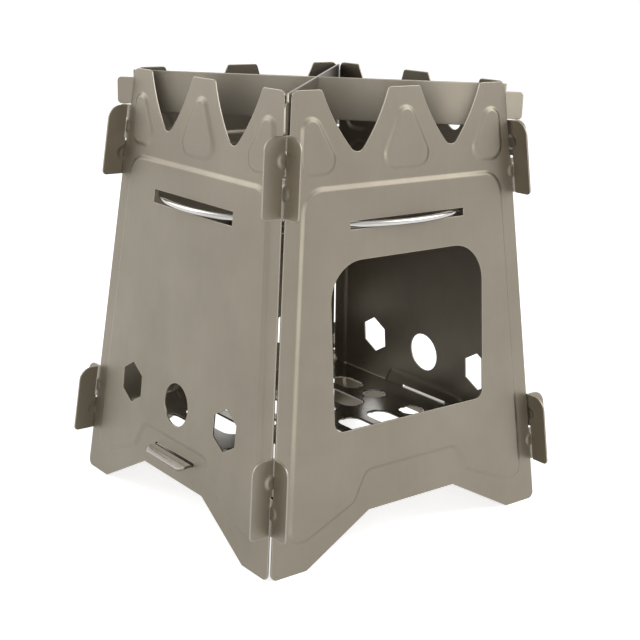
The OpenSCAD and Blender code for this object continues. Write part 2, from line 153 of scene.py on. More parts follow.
class WallSizes(bpy.types.PropertyGroup):
    """Sizes of the four stamped walls"""
    body_h: length("Height", 155, "Height of the walls above the ground")
    base_w: length("Width at the ground", 124, "Distance between opposite walls' outer faces at the ground")
    top_w: length("Width at the top", 95, "Distance between opposite walls' outer faces at the top")
    sheet_t: length("Sheet", 0.6, "Thickness of the wall sheet")
    edge_back: length("Edge back", 0.9, "How far a wall stops short of the corner line")
    crown_back: length("Crown back", 1.5, "How far the crown stops short of the corner line")
    cut_r: length("Cut edge", 0.11, "Rounding of the cut edges")
    relief_h: length("Relief", 0.8, "Height of the stamped relief")
    relief_w: length("Relief slope", 1.9, "Width of the relief's soft slope")
    notch_d: length("Notch depth", 20, "Depth of the notches between the merlons")
    notch_x: length("Notch place", 20.5, "Distance of the notches from the middle line")
    notch_half_w: length("Notch half width", 13.8, "Half of a notch's width at the top")
    notch_r: length("Notch bottom", 3.6, "Radius at the bottom of a notch")
    notch_flank_r: length("Notch flank", 62, "Radius of a notch's flanks")
    merlon_r: length("Merlon corner", 1.4, "Rounding of the merlons' corners")
    arch_h: length("Arch height", 14.6, "Height of the arch between the feet")
    arch_half_w: length("Arch half width", 19.5, "Half of the arch's flat middle")
    foot_x: length("Foot place", 46.6, "Distance from the middle line to the inner end of a foot")
    foot_r: length("Foot corner", 2.4, "Rounding at the outer corner of a foot")
    ear_h: length("Ear height", 25.4, "Height of an ear")
    ear_reach: length("Ear reach", 7.98, "How far an ear reaches past the corner line")
    low_ear_z: length("Low ears", 15.4, "Height of the lower ears' bottom")
    high_ear_z: length("High ears", 116.2, "Height of the upper ears' bottom")
    ear_top_r: length("Ear top corner", 5, "Rounding of an ear's upper corner")
    ear_low_r: length("Ear low corner", 1.6, "Rounding of an ear's lower corner")
    ear_slot_w: length("Ear slot", 0.7, "How far an ear's slot reaches past the corner line")
    ear_slot_r: length("Slot mouth", 0.45, "Rounding at the mouth of an ear's slot")
    ear_meet_gap: length("Ear gap", 0.8, "Height left open where two ears' slots meet")
    boss_r: length("Boss radius", 3.4, "Radius of the round boss on an ear")
    boss_h: length("Boss height", 0.4, "Height of the round boss")
    field_top_z: length("Field top", 124.2, "Height of the raised field's top edge")
    field_margin: length("Field margin", 6.6, "Distance from the wall's edge to the raised field")
    field_r: length("Field corner", 8, "Rounding of the field's upper corners")
    field_low_r: length("Field low corner", 4.4, "Rounding of the field's lower corners")
    field_mid_z: length("Field bottom", 29, "Height of the field's bottom edge in the middle")
    field_mid_half_w: length("Field middle", 20.5, "Half of the width of that edge")
    field_step_w: length("Field step width", 5.7, "Width of the steep step beside that edge")
    field_step_h: length("Field step height", 10.1, "Height of that step")
    field_foot_z: length("Field foot", 10.6, "Height of the field's bottom edge at the feet")
    tri_base_z: length("Triangle base", 128.8, "Height of the base of the rounded triangles")
    tri_tip_z: length("Middle tip", 148.2, "Height of the middle triangle's tip")
    tri_half_w: length("Triangle half width", 12.2, "Half of the middle triangle's base")
    tri_r: length("Triangle corner", 4.4, "Rounding of the triangles' base corners")
    tri_tip_r: length("Tip radius", 3.8, "Radius of the triangles' tips")
    side_tri_tip_z: length("Side tips", 146, "Height of the side triangles' tips")
    side_tri_x: length("Side triangle", 27.2, "Distance of its inner corner from the middle line")
    side_tri_margin: length("Side margin", 5.9, "Distance from the corner line to a side triangle")
    window_z: length("Window bottom", 44.2, "Height of the window's bottom edge")
    window_h: length("Window height", 56.3, "Height of the window opening along the sheet")
    window_w: length("Window width", 67.4, "Width of the window opening")
    window_top_r: length("Window top corner", 13, "Rounding of the window's upper corners")
    window_low_r: length("Window low corner", 3.6, "Rounding of the window's lower corners")
    hole_z: length("Air holes", 41.8, "Height of the air holes' centres")
    hex_x: length("Six-sided holes", 30.9, "Distance of the six-sided holes from the middle")
    hex_r: length("Hole radius", 7.6, "Radius of the six-sided holes across corners")
    round_hole_r: length("Round hole", 7.7, "Radius of the round hole in the middle")
    slot_half_w: length("Tray slot", 25, "Half of the length of the tray's slots")
    slot_z: length("Tray slot bottom", 110.35, "Height of the tray slot's bottom edge")
    slot_h: length("Tray slot height", 2.7, "Height of the slot in the window wall and the back wall")
    tall_slot_h: length("Tall slot height", 4.7, "Height of the tray's slot in the side walls")
    tall_slot_low: length("Tall slot drop", 0.8, "How far the side walls' slot starts below the others")
    tongue_slot_z: length("Tongue slot", 22.7, "Height of the tongue slot's bottom edge")
    tongue_slot_h: length("Tongue slot height", 1.6, "Height of the tongue's slot")
    tongue_slot_half_w: length("Tongue slot half width", 13, "Half of the length of the tongue's slots")


class TraySizes(bpy.types.PropertyGroup):
    """Sizes of the round tray"""
    tray_z: length("Height", 111.7, "Height of the middle of the rolled rim")
    tray_r: length("Radius", 56.4, "Outer radius of the tray")
    rim_r: length("Rim", 1.05, "Radius of the rolled rim's own section")
    tray_t: length("Sheet", 0.5, "Thickness of the tray's sheet")
    dish_d: length("Dish depth", 7, "Depth of the dish below the flange")
    dish_r: length("Dish radius", 46, "Radius of the dish at its top")
    floor_r: length("Floor radius", 41, "Radius of the dish's floor")
    seat_r: length("Seat radius", 21, "Radius of the raised seat")
    seat_h: length("Seat height", 1.6, "Height of the raised seat")
    bend_r: length("Bends", 1.5, "Radius of the pressed bends")
    hole_r: length("Hole radius", 3.4, "Radius of the holes around the floor")
    hole_ring_r: length("Hole circle", 31, "Radius of the circle that the holes lie on")
    mid_hole_r: length("Middle hole", 7, "Radius of the hole in the middle")
    cut_r: length("Cut edge", 0.08, "Rounding of the cut edges")
    holes: IntProperty(name="Holes", description="Number of holes around the floor", default=12, min=0)
    turns: IntProperty(name="Steps", description="Steps round the tray", default=144, min=24)


class PlateSizes(bpy.types.PropertyGroup):
    """Sizes of the base plate"""
    plate_z: length("Height", 23.7, "Height of the plate's top face")
    plate_t: length("Sheet", 0.8, "Thickness of the plate")
    plate_clear: length("Clearance", 0.4, "Gap between the plate and the walls")
    tongue_half_w: length("Tongue", 12.6, "Half of the width of a tongue")
    tongue_reach: length("Tongue reach", 5.4, "How far a tongue reaches past the wall")
    tongue_r: length("Tongue corner", 2.6, "Rounding of a tongue's corners")
    bend_start: length("Bend start", 2.2, "Distance past the wall where a tongue starts to bend down")
    bend_len: length("Bend length", 1, "Length over which a tongue takes its slope")
    bend_slope: share("Bend slope", 0.42, "Slope of a tongue's end")
    row_pitch: length("Rows", 14.2, "Distance between neighbouring rows of openings")
    row_slot_r: length("Opening", 5, "Half of the width of an opening")
    row_slot_near: length("Near end", 4, "Distance from the middle to the openings' near end")
    row_slot_far: length("Far end", 38, "Distance from the middle to the openings' far end")
    end_hole_y: length("End holes", 11.5, "Distance of the outer rows' round holes from the middle")
    end_slot_near: length("End openings", 21, "Near end of the outer rows' openings")
    cut_r: length("Cut edge", 0.16, "Rounding of the cut edges")


class SupportSizes(bpy.types.PropertyGroup):
    """Sizes of the two crossed pot supports"""
    support_h: length("Height", 15, "Height of a pot support")
    support_t: length("Sheet", 0.8, "Thickness of a pot support")
    support_drop: length("Drop", 0.8, "Distance from the walls' top down to the supports' top")
    tab_len: length("Tab", 6, "How far the end tabs reach past the full height")
    support_back: length("Support back", 0.3, "How far the full height stops short of the corner line at its top")
    tab_step: length("Tab step", 2.7, "Height of the step above the end tabs")
    tab_z: length("Tab bottom", 141.96, "Height of the end tabs' bottom edge")
    tab_r: length("Tab corner", 1.4, "Rounding of the end tabs")
    lap_clear: length("Lap", 0.2, "Gap on each side where the supports cross")
    cut_r: length("Cut edge", 0.12, "Rounding of the cut edges")


class FinishSettings(bpy.types.PropertyGroup):
    """Colours and finish of the metals"""
    sheet: colour("Sheet", (0.25, 0.224, 0.18), "Bead-blasted titanium")
    sheet_shade: colour("Sheet shade", (0.222, 0.198, 0.158), "Darker drift in the blasted sheet")
    # The cut-edge colour is bare metal painted lighter than the sheet: a painted highlight along the cut edges
    sheet_cut_painted_highlight: colour("Cut edge", (0.29, 0.262, 0.215), "Bare metal along the cut edges")
    # Painted shade: the pot supports take the walls' blasted titanium painted darker, in both tone and drift, for
    # their shaded place inside the crown
    strip: colour("Strip", (0.212, 0.19, 0.154), "Blasted titanium of the pot supports")
    strip_painted_shade_drift: colour("Strip shade", (0.188, 0.168, 0.135), "Darker drift in the pot supports")
    plate: colour("Plate", (0.45, 0.43, 0.395), "Smooth base plate")
    # Painted shade: the plate's cut edges are painted far darker than the plate, for the shaded edge faces round the
    # tongues
    plate_cut_painted_shade: colour("Plate edge", (0.17, 0.15, 0.125), "Dull cut edges of the plate")
    plate_shade: colour("Plate shade", (0.35, 0.335, 0.305), "Darker drift in the plate")
    tray: colour("Tray", (0.52, 0.51, 0.495), "Polished tray")
    tray_shade: colour("Tray shade", (0.45, 0.44, 0.425), "Duller drift in the tray")
    sheet_roughness: share("Sheet roughness", 0.42, "Roughness of the blasted sheet")
    grain: share("Grain", 0.22, "Strength of the blasted grain")


class StudioSettings(bpy.types.PropertyGroup):
    """Camera, lamps and floor"""
    camera_place: FloatVectorProperty(name="Camera place", description="Where the camera stands", size=3,
                                      default=(-0.27591, -0.35930, 0.19094), subtype="TRANSLATION", precision=5)
    camera_turn: FloatVectorProperty(name="Camera turn", description="How the camera is turned", size=3,
                                     default=[math.radians(a) for a in (74.375, -1.528, -37.535)],
                                     subtype="EULER", precision=5)
    lens: FloatProperty(name="Lens", description="Focal length on a 36 mm sensor", default=70.56, min=10)
    sky: share("Sky", 0.42, "Strength of the even light from all round")
    key: FloatProperty(name="Key", description="Power of the lamp behind the stove in watts", default=4, min=0)
    fill: FloatProperty(name="Fill", description="Power of the lamp on the right in watts", default=6, min=0)
    front: FloatProperty(name="Front", description="Power of the lamp behind the camera in watts", default=5.5, min=0)
    floor_size: length("Floor", 12000, "Side of the floor")
    floor_lift: share("Floor white", 0.72, "How far the background colour lifts the floor for the camera")


def heading(p, q):
    """Direction from one point to another"""
    return math.atan2(q[1] - p[1], q[0] - p[0])


def turn_of(angle):
    """An angle difference brought into half a turn each way"""
    return (angle + math.pi) % (2 * math.pi) - math.pi


def arc(centre, r, start, end, step=CORNER_STEP):
    """Points of a circular arc"""
    steps = max(2, math.ceil(abs(end - start) / step))
    return [(centre[0] + r * math.cos(start + (end - start) * i / steps),
             centre[1] + r * math.sin(start + (end - start) * i / steps)) for i in range(steps + 1)]


def circle(centre, r, steps=CIRCLE_STEPS, start=0):
    """Points of a full circle"""
    angles = [start + 2 * math.pi * i / steps for i in range(steps)]
    return [(centre[0] + r * math.cos(a), centre[1] + r * math.sin(a)) for a in angles]


def neighbours(corners):
    """Each corner of a closed outline between the two beside it"""
    return zip(corners[-1:] + corners[:-1], corners, corners[1:] + corners[:1])


def corner_arc(a, b, c, r):
    """A corner rounded by an arc that touches both of its sides"""
    h1 = heading(a, b)
    t = turn_of(heading(b, c) - h1)
    if r <= 0 or abs(t) < LEAST_TURN:
        return [(b[0], b[1])]
    s = math.copysign(1, t)
    back = r * math.tan(abs(t) / 2)
    centre = (b[0] - back * math.cos(h1) - s * r * math.sin(h1), b[1] - back * math.sin(h1) + s * r * math.cos(h1))
    return arc(centre, r, h1 - s * QUARTER, h1 - s * QUARTER + t)


def rounded(corners):
    """A closed outline whose corners (x, y, radius) are rounded"""
    return [p for a, b, c in neighbours(corners) for p in corner_arc(a, b, c, b[2])]


def rounded_line(corners):
    """An open line whose inner corners (x, y, radius) are rounded"""
    inner = [p for a, b, c in zip(corners, corners[1:], corners[2:]) for p in corner_arc(a, b, c, b[2])]
    return [corners[0][:2]] + inner + [corners[-1][:2]]


def drawn_in(corners, d):
    """Corners of an anticlockwise outline drawn in by a distance, or let out by a negative one"""
    made = []
    for a, b, c in neighbours(corners):
        h1, h2 = heading(a, b), heading(b, c)
        n = Vector((-math.sin(h1) - math.sin(h2), math.cos(h1) + math.cos(h2)))
        q = Vector(b[:2]) + n * d / (1 + math.cos(h2 - h1))
        made.append((q.x, q.y, max(b[2] - math.copysign(1, turn_of(h2 - h1)) * d, 0)))
    return made


def mirrored(corners):
    """The same corners seen in a mirror, still anticlockwise"""
    return [(-c[0],) + tuple(c[1:]) for c in reversed(corners)]


def meet(p, a, q, b):
    """Where a line through p and one through q meet, with their headings"""
    along = ((q[0] - p[0]) * math.sin(b) - (q[1] - p[1]) * math.cos(b)) / math.sin(b - a)
    return (p[0] + along * math.cos(a), p[1] + along * math.sin(a))


def rectangle(half_w, low, high, r=0):
    """Corners of an upright rectangle about the middle line"""
    return [(-half_w, low, r), (half_w, low, r), (half_w, high, r), (-half_w, high, r)]


class WallPlan:
    """Outlines of a wall in its own plane: x across, y up along the sheet, outside towards +z"""

    def __init__(self, sizes):
        self.s = sizes
        self.lean = math.atan((sizes.base_w - sizes.top_w) / 2 / sizes.body_h)

    def rise(self, z):
        """Length along the leaning sheet for a height above the ground"""
        return z / math.cos(self.lean)

    def half(self, v, back=0):
        """Half of the wall's width at a height along the sheet"""
        return self.s.base_w / 2 - v * math.sin(self.lean) - back

    def place(self, quarter_turns):
        """Stands the wall up, leaning in, on one of the four sides"""
        sink = self.s.sheet_t * math.sin(self.lean)
        return (Matrix.Rotation(quarter_turns * QUARTER, 4, "Z") @ Matrix.Translation((0, -self.s.base_w / 2, sink))
                @ Matrix.Rotation(QUARTER - self.lean, 4, "X"))

    def notch(self, x):
        """A notch between two merlons, from its right-hand top to its left-hand top"""
        s, top = self.s, self.rise(self.s.body_h)
        low = Vector((0, s.notch_r - s.notch_d))
        across = Vector((s.notch_half_w, 0)) - low
        gap = across.length
        inner_r = s.notch_flank_r - s.notch_r
        along = (inner_r ** 2 - s.notch_flank_r ** 2 + gap ** 2) / (2 * gap)
        across.normalize()
        flank = low + along * across + math.sqrt(inner_r ** 2 - along ** 2) * Vector((-across.y, across.x))
        corner = Vector((flank.x + math.sqrt((s.notch_flank_r + s.merlon_r) ** 2 - (flank.y + s.merlon_r) ** 2),
                         -s.merlon_r))
        a0, a1 = heading(flank, low), heading(flank, corner)
        right = (arc(low, s.notch_r, -QUARTER, a0) + arc(flank, s.notch_flank_r, a0, a1, FLANK_STEP)[1:]
                 + arc(corner, s.merlon_r, math.pi + a1, QUARTER)[1:])
        left = [(-px, py) for px, py in right[1:]]
        return [(x + px, top + py, 0) for px, py in list(reversed(right)) + left]

    def ear(self, z, side):
        """An ear on the right (1) going up or on the left (-1) going down, with its slot open at the far end"""
        s = self.s
        top_back = s.edge_back if z < s.body_h / 2 else s.crown_back
        ends = ((self.rise(z), s.edge_back, s.ear_low_r), (self.rise(z + s.ear_h), top_back, s.ear_top_r))
        (near, near_back, near_r), (far, far_back, far_r) = ends[::side]
        stop = self.rise(z + s.ear_h / 2) - side * s.ear_meet_gap / 2
        corners = ((near_back, near, 0), (-s.ear_reach, near, near_r), (-s.ear_reach, far, far_r),
                   (-s.ear_slot_w, far, s.ear_slot_r), (-s.ear_slot_w, stop, s.cut_r), (far_back, stop, 0))
        return [(side * self.half(v, back), v, r) for back, v, r in corners]

    def contour(self):
        """The whole cut edge of a wall"""
        s, top = self.s, self.rise(self.s.body_h)
        arch = [(-s.foot_x, 0, 0), (-s.arch_half_w, self.rise(s.arch_h), 0)]
        feet = [(-self.half(0, s.edge_back), 0, s.foot_r)] + arch + mirrored(arch)
        right = [(self.half(0, s.edge_back), 0, s.foot_r)] + self.ear(s.low_ear_z, 1) + self.ear(s.high_ear_z, 1)
        end = self.half(top, s.crown_back)
        crown = ([(end, top, CROWN_END * s.merlon_r)] + self.notch(s.notch_x) + self.notch(-s.notch_x)
                 + [(-end, top, CROWN_END * s.merlon_r)])
        left = self.ear(s.high_ear_z, -1) + self.ear(s.low_ear_z, -1)
        return feet + right + crown + left

    def field(self):
        """Corners of the large raised field"""
        s = self.s
        top, foot, mid = self.rise(s.field_top_z), self.rise(s.field_foot_z), self.rise(s.field_mid_z)
        side = s.edge_back + s.field_margin
        right = [(s.field_mid_half_w, mid, s.field_low_r),
                 (s.field_mid_half_w + s.field_step_w, mid - s.field_step_h, s.field_low_r),
                 (s.foot_x, foot, s.field_low_r), (self.half(foot, side), foot, FIELD_FOOT * s.field_low_r),
                 (self.half(top, side), top, s.field_r)]
        return right + mirrored(right)

    def triangle(self, p, q, c):
        """Corners of a triangle on a base from p to q, whose tip is an arc round c"""
        s = self.s
        ease_p = math.asin(s.tri_tip_r / math.dist(p, c))
        ease_q = math.asin(s.tri_tip_r / math.dist(q, c))
        tip = meet(p, heading(p, c) + ease_p, q, heading(q, c) - ease_q)
        return [(*p, s.tri_r), (*q, s.tri_r), (*tip, s.tri_tip_r)]

    def triangles(self):
        """The three rounded triangles under the merlons"""
        s, base = self.s, self.rise(self.s.tri_base_z)
        side_tip = self.rise(s.side_tri_tip_z) - s.tri_tip_r
        right = self.triangle((s.side_tri_x, base), (self.half(base, s.side_tri_margin), base),
                              (self.half(side_tip, s.side_tri_margin) - s.tri_tip_r, side_tip))
        middle = self.triangle((-s.tri_half_w, base), (s.tri_half_w, base), (0, self.rise(s.tri_tip_z) - s.tri_tip_r))
        return [middle, right, mirrored(right)]

    def bosses(self):
        """Centres of the round bosses, on the solid half of each ear"""
        s = self.s
        places = []
        for z in (s.low_ear_z, s.high_ear_z):
            for side in (-1, 1):
                v = self.rise(z + s.ear_h / 2) - side * (s.boss_r + s.ear_low_r)
                places.append((side * self.half(v), v))
        return places

    def window(self):
        """Corners of the window"""
        s, low = self.s, self.rise(self.s.window_z)
        corners = rectangle(s.window_w / 2, low, low + s.window_h, s.window_low_r)
        return corners[:2] + [(x, y, s.window_top_r) for x, y, _ in corners[2:]]

    def air_holes(self):
        """Corners of the two six-sided holes and the round one"""
        s, v = self.s, self.rise(self.s.hole_z)
        holes = [[(x, y, s.cut_r) for x, y in circle((side * s.hex_x, v), s.hex_r, HEX_SIDES, QUARTER)]
                 for side in (-1, 1)]
        return holes + [[(x, y, 0) for x, y in circle((0, v), s.round_hole_r)]]

    def tray_slot(self, tall):
        """Corners of the slot that the tray stands in"""
        s = self.s
        low = self.rise(s.slot_z - (s.tall_slot_low if tall else 0))
        return rectangle(s.slot_half_w, low, low + (s.tall_slot_h if tall else s.slot_h), s.cut_r)

    def tongue_slot(self):
        """Corners of the slot for the base plate's tongue"""
        s, low = self.s, self.rise(self.s.tongue_slot_z)
        return rectangle(s.tongue_slot_half_w, low, low + s.tongue_slot_h, s.cut_r)


def face_from(bm, points, z=0):
    """One flat face through points"""
    face = bm.faces.new([bm.verts.new((x, y, z)) for x, y in points])
    face.normal_update()
    return face


def inset(bm, face, width, height=0):
    """Draws a face in, leaving a band of faces round it, and returns the band"""
    return bmesh.ops.inset_region(bm, faces=[face], thickness=width, depth=height, use_boundary=True,
                                  use_even_offset=True)["faces"]


def outer_edges(band):
    """The free edges of a band of faces"""
    return [e for f in band for e in f.edges if e.is_boundary]


def open_up(bm, face):
    """Takes a face out and returns the edges round it"""
    edges = list(face.edges)
    bmesh.ops.delete(bm, geom=[face], context="FACES_ONLY")
    return edges


def hole_edges(bm, corners, z, band):
    """A hole with a band of faces round it; returns the band's outer edges"""
    face = face_from(bm, rounded(drawn_in(corners, -band)), z)
    edges = outer_edges(inset(bm, face, band))
    open_up(bm, face)
    return edges


def raised_face(bm, points, slope_w, height, steps):
    """A soft-edged raised area; returns its flat top and its outer edges"""
    face = face_from(bm, points)
    lead = slope_w * SLOPE_LEAD
    edges = outer_edges(inset(bm, face, lead))
    done = 0
    for i in range(1, steps + 1):
        t = i / steps
        level = height * t * t * (3 - 2 * t)
        inset(bm, face, slope_w / steps, level - done)
        done = level
    inset(bm, face, lead)
    return face, edges


def fill(bm, edges):
    """Fills the flat area between closed loops of edges"""
    bmesh.ops.triangle_fill(bm, edges=edges, use_beauty=True, use_dissolve=False, normal=(0, 0, 1))


def thicken(bm, thickness, cut_r):
    """Gives a sheet its thickness below its face and rounds its cut edges, which are marked"""
    bmesh.ops.remove_doubles(bm, verts=bm.verts, dist=MERGE_DIST)
    for f in bm.faces:
        f.normal_update()
        if f.normal.z < 0:
            f.normal_flip()
    bmesh.ops.solidify(bm, geom=bm.faces[:], thickness=thickness)
    bm.normal_update()
    sharp = [e for e in bm.edges if e.is_manifold and e.calc_face_angle() > ROUNDED_ANGLE]
    bmesh.ops.bevel(bm, geom=sharp, offset=cut_r, offset_type="OFFSET", segments=CUT_STEPS, profile=0.5,
                    affect="EDGES", material=-1, loop_slide=False)
    mark = bm.verts.layers.float.new(CUT_MARK)
    for e in bm.edges:
        if e.is_manifold and e.calc_face_angle() > CUT_ANGLE:
            for v in e.verts:
                v[mark] = 1


def mesh_object(bm, name, material):
    """Makes a bmesh an object in the scene, in one material"""
    mesh = bpy.data.meshes.new(name)
    bm.to_mesh(mesh)
    bm.free()
    mesh.materials.append(material)
    made = bpy.data.objects.new(name, mesh)
    bpy.context.scene.collection.objects.link(made)
    return made


def finish_piece(bm, name, material, body, slot, *nodes):
    """Makes a bmesh a piece that rides on a body and stands for its CAD nodes"""
    for f in bm.faces:
        f.smooth = True
    for e in bm.edges:
        e.smooth = not (e.is_manifold and e.calc_face_angle() > SHARP_ANGLE)
    piece = mesh_object(bm, name, material)
    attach(piece, body)
    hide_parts(*nodes)


class ShaderTree:
    """Short ways to build a node tree"""

    def __init__(self, tree):
        self.tree = tree

    def add(self, kind, values=None, **settings):
        """A node with its settings, input values and links"""
        node = self.tree.nodes.new(kind)
        for key, value in settings.items():
            setattr(node, key, value)
        for key, value in (values or {}).items():
            if isinstance(value, bpy.types.NodeSocket):
                self.tree.links.new(value, node.inputs[key])
            else:
                node.inputs[key].default_value = value
        return node


def fresh_tree(owner):
    """The emptied node tree of a new material or world"""
    owner.use_nodes = True
    owner.node_tree.nodes.clear()
    return ShaderTree(owner.node_tree)


def new_group(name, inputs, outputs):
    """A shader node group with named sockets, as (tree, sockets of its input node)"""
    group = bpy.data.node_groups.new(name, "ShaderNodeTree")
    for direction, sockets in (("INPUT", inputs), ("OUTPUT", outputs)):
        for label, kind in sockets.items():
            group.interface.new_socket(name=label, in_out=direction, socket_type=f"NodeSocket{kind}")
    tree = ShaderTree(group)
    return tree, tree.add("NodeGroupInput").outputs


def drift_group(name):
    """Slow drift of tone over a metal sheet, with faint streaks"""
    tree, given = new_group(name, {"Vector": "Vector", "Tone": "Color", "Shade": "Color", "Scale": "Float",
                                   "Streaks": "Float"}, {"Colour": "Color", "Mask": "Float"})
    cloud = tree.add("ShaderNodeTexNoise", {"Vector": given["Vector"], "Scale": given["Scale"], "Detail": 4.0,
                                            "Roughness": 0.6})
    long_way = tree.add("ShaderNodeVectorMath", {0: given["Vector"], 1: STREAK_STRETCH}, operation="MULTIPLY")
    streak = tree.add("ShaderNodeTexNoise", {"Vector": long_way.outputs[0], "Scale": STREAK_SCALE, "Detail": 3.0})
    both = tree.add("ShaderNodeMix", {"Factor": given["Streaks"], "A": cloud.outputs["Fac"],
                                      "B": streak.outputs["Fac"]}, data_type="FLOAT")
    spread = tree.add("ShaderNodeMapRange", {"Value": both.outputs["Result"], "From Min": DRIFT_LOW,
                                             "From Max": DRIFT_HIGH})
    tone = tree.add("ShaderNodeMix", {"Factor": spread.outputs["Result"], "A": given["Shade"], "B": given["Tone"]},
                    data_type="RGBA")
    tree.add("NodeGroupOutput", {"Colour": tone.outputs["Result"], "Mask": spread.outputs["Result"]})
    return tree.tree


def grain_group(name):
    """Fine grain of blasted or rolled metal, as a height"""
    tree, given = new_group(name, {"Vector": "Vector", "Scale": "Float"}, {"Height": "Float"})
    fine = tree.add("ShaderNodeTexNoise", {"Vector": given["Vector"], "Scale": given["Scale"], "Detail": 2.0,
                                           "Roughness": 0.7})
    tree.add("NodeGroupOutput", {"Height": fine.outputs["Fac"]})
    return tree.tree


def cut_group(name):
    """Bare metal along the cut edges, in an edge colour that also paints light there: a highlight on the blasted
    sheets and a shade on the plate
    """
    tree, given = new_group(name, {"Colour": "Color", "Bare": "Color", "Roughness": "Float",
                                   "Bare roughness": "Float"}, {"Colour": "Color", "Roughness": "Float"})
    mark = tree.add("ShaderNodeAttribute", attribute_name=CUT_MARK).outputs["Fac"]
    tone = tree.add("ShaderNodeMix", {"Factor": mark, "A": given["Colour"], "B": given["Bare"]}, data_type="RGBA")
    rough = tree.add("ShaderNodeMix", {"Factor": mark, "A": given["Roughness"], "B": given["Bare roughness"]},
                     data_type="FLOAT")
    tree.add("NodeGroupOutput", {"Colour": tone.outputs["Result"], "Roughness": rough.outputs["Result"]})
    return tree.tree


def shared(name, builder):
    """A node group that is built once"""
    return bpy.data.node_groups.get(name) or builder(name)


def metal(name, tone, shade, bare_and_painted_edge_light, rough_low, rough_high, grain, grain_scale, drift_scale, streaks):
    """A metal with drifting tone, fine grain and an edge colour along the cut edges, which is cut metal with painted
    edge light where it differs from the tone
    """
    known = bpy.data.materials.get(name)
    if known:
        return known
    material = bpy.data.materials.new(name)
    tree = fresh_tree(material)
    place = tree.add("ShaderNodeTexCoord").outputs["Object"]
    drift = tree.add("ShaderNodeGroup", {"Vector": place, "Tone": (*tone, 1), "Shade": (*shade, 1),
                                         "Scale": drift_scale, "Streaks": streaks},
                     node_tree=shared("Tone drift", drift_group))
    rough = tree.add("ShaderNodeMapRange", {"Value": drift.outputs["Mask"], "To Min": rough_high,
                                            "To Max": rough_low})
    # The edge colour goes onto the marked cut edges as painted light: lighter on the blasted sheets as a painted
    # highlight, darker on the plate as painted shade, the same as the tray on the tray
    cut = tree.add("ShaderNodeGroup", {"Colour": drift.outputs["Colour"], "Bare": (*bare_and_painted_edge_light, 1),
                                       "Roughness": rough.outputs["Result"],
                                       "Bare roughness": BARE_ROUGHNESS * rough_low},
                   node_tree=shared("Cut edge", cut_group))
    fine = tree.add("ShaderNodeGroup", {"Vector": place, "Scale": grain_scale},
                    node_tree=shared("Metal grain", grain_group))
    bump = tree.add("ShaderNodeBump", {"Height": fine.outputs["Height"], "Strength": grain, "Distance": GRAIN_DEPTH})
    shader = tree.add("ShaderNodeBsdfPrincipled", {"Base Color": cut.outputs["Colour"], "Metallic": 1.0,
                                                   "Roughness": cut.outputs["Roughness"],
                                                   "Normal": bump.outputs["Normal"]})
    tree.add("ShaderNodeOutputMaterial", {"Surface": shader.outputs["BSDF"]})
    return material


def blasted_metal(name, tone, shade, finish):
    """Bead-blasted titanium in a tone, with a painted highlight in the lighter colour of its cut edges"""
    return metal(name, tone, shade, finish.sheet_cut_painted_highlight, rough_low=finish.sheet_roughness - ROUGHNESS_BELOW,
                 rough_high=finish.sheet_roughness + ROUGHNESS_ABOVE, grain=finish.grain, grain_scale=3200,
                 drift_scale=22, streaks=0.1)


def plate_metal(finish):
    """Smooth plate metal, with painted shade in the dark colour of its cut edges"""
    return metal("Smooth plate", finish.plate, finish.plate_shade, finish.plate_cut_painted_shade, rough_low=0.14,
                 rough_high=0.24, grain=0.05, grain_scale=900, drift_scale=30, streaks=0.1)


def tray_metal(finish):
    """Polished tray metal"""
    return metal("Polished tray", finish.tray, finish.tray_shade, finish.tray, rough_low=0.07,
                 rough_high=0.14, grain=0.03, grain_scale=1500, drift_scale=40, streaks=0)


class STOVE_OT_walls(bpy.types.Operator):
    """Build the four stamped walls"""
    bl_idname = "stove.walls"
    bl_label = "Stamped Walls"

    def execute(self, context):
        plan, finish = WallPlan(context.scene.stove_walls), context.scene.stove_finish
        material = blasted_metal("Blasted titanium", finish.sheet, finish.sheet_shade, finish)
        for quarter_turns, node in enumerate(("window_wall", "right_wall", "back_wall", "left_wall")):
            self.wall(plan, node, quarter_turns, material)
        return {"FINISHED"}

    def wall(self, plan, node, quarter_turns, material):
        """One wall, stamped from flat sheet"""
        s = plan.s
        band = EDGE_BAND * s.cut_r
        bm = bmesh.new()
        sheet = face_from(bm, rounded(plan.contour()))
        inset(bm, sheet, band)
        flat = open_up(bm, sheet)
        for centre in plan.bosses():
            flat += raised_face(bm, circle(centre, s.boss_r), BOSS_SLOPE * s.boss_r, s.boss_h, BOSS_ROWS)[1]
        for corners in (*plan.triangles(), plan.field()):
            outline = rounded(drawn_in(corners, -SLOPE_OUTSIDE * s.relief_w))
            raised, edges = raised_face(bm, outline, s.relief_w, s.relief_h, RELIEF_ROWS)
            flat += edges
        # The field comes last: its top is opened for the holes
        raised = open_up(bm, raised)
        tall = node in ("left_wall", "right_wall")
        holes = [plan.tray_slot(tall)] + ([plan.window()] if node == "window_wall" else plan.air_holes())
        for corners in holes:
            raised += hole_edges(bm, corners, s.relief_h, band)
        if tall:
            flat += hole_edges(bm, plan.tongue_slot(), 0, band)
        fill(bm, flat)
        fill(bm, raised)
        thicken(bm, s.sheet_t, s.cut_r)
        bmesh.ops.transform(bm, matrix=plan.place(quarter_turns), verts=bm.verts)
        finish_piece(bm, node.replace("_wall", "_sheet"), material, "stove", "titanium_sheet", node)


